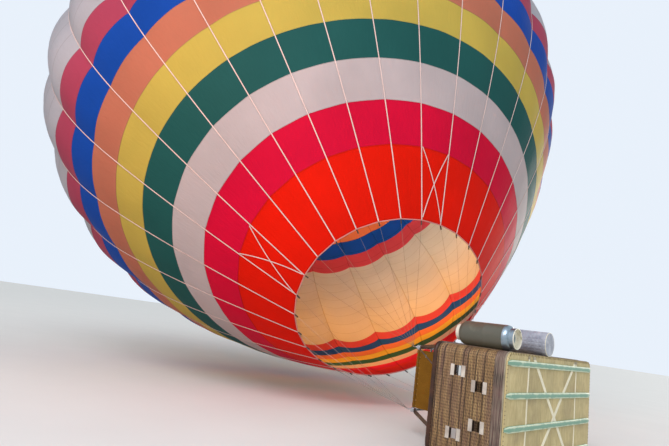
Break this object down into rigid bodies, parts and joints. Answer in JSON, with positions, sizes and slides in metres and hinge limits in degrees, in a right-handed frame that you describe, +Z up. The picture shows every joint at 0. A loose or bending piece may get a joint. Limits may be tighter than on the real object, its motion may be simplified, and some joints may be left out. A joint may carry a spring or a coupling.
{
  "type": "hot air balloon during inflation",
  "caption": "Striped hot air balloon leaning over the ground as it fills, mouth open, with burner frame and wicker basket lying on its side.",
  "frame": {"origin": "the envelope's centre of lift, on the axis of the envelope 10.5 m up from the mouth", "axes": "+Z up, +X the level way in which the crown points, +Y to the left when looking along +X"},
  "size_m": [19.0748, 17.2229, 17.5683],
  "materials": {
    "cloth_red": "woven nylon, coated",
    "cloth_crimson": "woven nylon, coated",
    "cloth_white": "woven nylon, coated",
    "cloth_green": "woven nylon, coated",
    "cloth_yellow": "woven nylon, coated",
    "cloth_orange": "woven nylon, coated",
    "cloth_blue": "woven nylon, coated",
    "cloth_rose": "woven nylon, coated",
    "webbing": "woven polyester tape",
    "wire": "stranded stainless wire",
    "frame_steel": "welded stainless tube",
    "burner_steel": "heat-tinted stainless coil",
    "olive_canvas": "padded canvas sleeve",
    "wicker": "woven cane and willow",
    "leather": "hide, stitched",
    "plank": "weathered painted board",
    "runner_green": "painted batten, worn",
    "tank_grey": "grey enamel"
  },
  "bodies": {
    "root": {"mouth_band_red": "cloth_red", "band_crimson_low": "cloth_crimson", "band_white_low": "cloth_white", "band_green_low": "cloth_green", "band_yellow_low": "cloth_yellow", "band_orange_low": "cloth_orange", "band_blue_low": "cloth_blue", "band_rose_low": "cloth_rose", "band_white_wide": "cloth_white", "band_rose_high": "cloth_rose", "band_blue_high": "cloth_blue", "band_orange_high": "cloth_orange", "band_yellow_high": "cloth_yellow", "band_green_high": "cloth_green", "band_white_high": "cloth_white", "crown_band_crimson": "cloth_crimson", "load_tapes": "webbing", "flying_wires_right_top": "wire", "flying_wires_right_low": "wire", "flying_wires_left_low": "wire", "flying_wires_left_top": "wire", "burner_frame": "frame_steel", "frame_apron_near": "olive_canvas", "frame_apron_far": "olive_canvas", "padded_rod_near_top": "olive_canvas", "padded_rod_near_low": "olive_canvas", "padded_rod_far_top": "olive_canvas", "padded_rod_far_low": "olive_canvas", "basket_wicker_walls": "wicker", "partition_across_near": "wicker", "partition_across_far": "wicker", "partition_along_near": "wicker", "partition_along_far": "wicker", "padded_rim": "leather", "leather_base_band": "leather", "basket_floor_boards": "plank", "floor_runner_1": "runner_green", "floor_runner_2": "runner_green", "floor_runner_3": "runner_green", "floor_runner_4": "runner_green", "fuel_cylinder_1": "tank_grey", "fuel_cylinder_2": "tank_grey"},
    "vent": {"parachute_vent": "cloth_crimson"},
    "gimbal": {"gimbal_ring": "frame_steel"},
    "burners": {"burner_pair": "burner_steel"}
  },
  "joints": [
    {"name": "vent_pull", "type": "slide", "parent": "root", "child": "vent", "axis": [-0.8415, 0, -0.5402], "range_m": [0, 1.2], "stiffness_N_per_m": 200, "springref_m": -0.6},
    {"name": "gimbal_tilt", "type": "hinge", "parent": "root", "child": "gimbal", "pos_m": [-8.69936, -0.38564, -8.48095], "axis": [-0.373, 0.9278, 0], "range_deg": [-25, 25]},
    {"name": "burner_tilt", "type": "hinge", "parent": "gimbal", "child": "burners", "pos_m": [-8.69936, -0.38564, -8.48095], "axis": [0, 0, 1], "range_deg": [-20, 20]}
  ]
}
